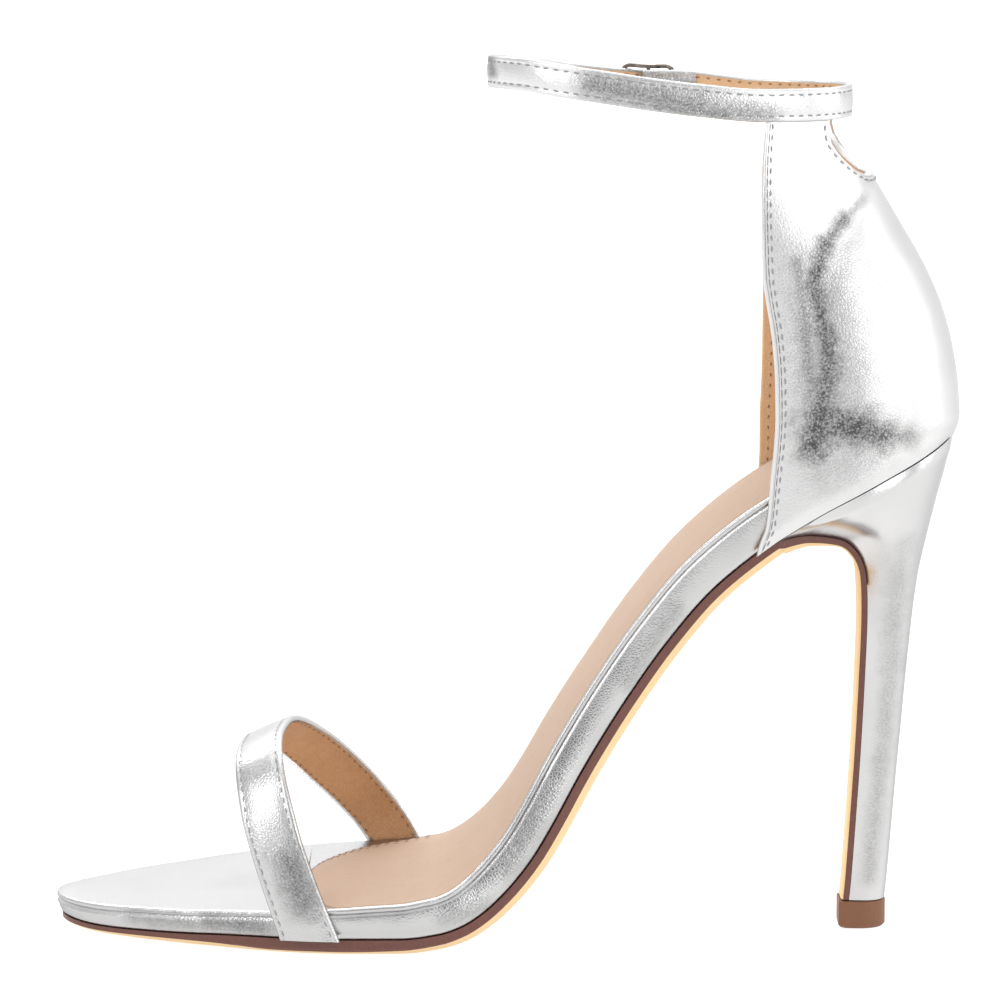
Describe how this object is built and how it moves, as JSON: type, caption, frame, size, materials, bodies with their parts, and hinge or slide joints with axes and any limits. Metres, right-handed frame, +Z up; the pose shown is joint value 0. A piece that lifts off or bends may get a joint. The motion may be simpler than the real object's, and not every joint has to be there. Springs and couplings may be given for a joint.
{
  "type": "heeled sandal",
  "caption": "Open high-heeled sandal with a slanted toe strap, a closed heel counter and a buckled ankle strap; worn on the right foot for dress use",
  "frame": {"origin": "bottom centre of the bounding box, on the floor that the sandal stands on", "axes": "+Z up, the toe points along -X and the heel is at +X, -Y is the medial side of the right foot and +Y the lateral side with the buckle"},
  "size_m": [0.2042, 0.0754, 0.1985],
  "materials": {
    "sole_leather": "satin",
    "silver_wrap": "metallic, glossy",
    "tan_liner": "matte",
    "silver_strap": "metallic, glossy",
    "silver_upper": "metallic, glossy",
    "buckle_metal": "dark, polished",
    "prong_metal": "dark, polished",
    "silver_heel": "metallic, glossy",
    "lift_rubber": "matte"
  },
  "bodies": {
    "root": {"outsole": "sole_leather", "footbed": "silver_wrap", "sock_liner": "tan_liner", "toe_strap": "silver_strap", "heel_upper": "silver_upper", "buckle_frame": "buckle_metal", "buckle_prong": "prong_metal", "heel": "silver_heel", "top_lift": "lift_rubber"}
  },
  "joints": []
}
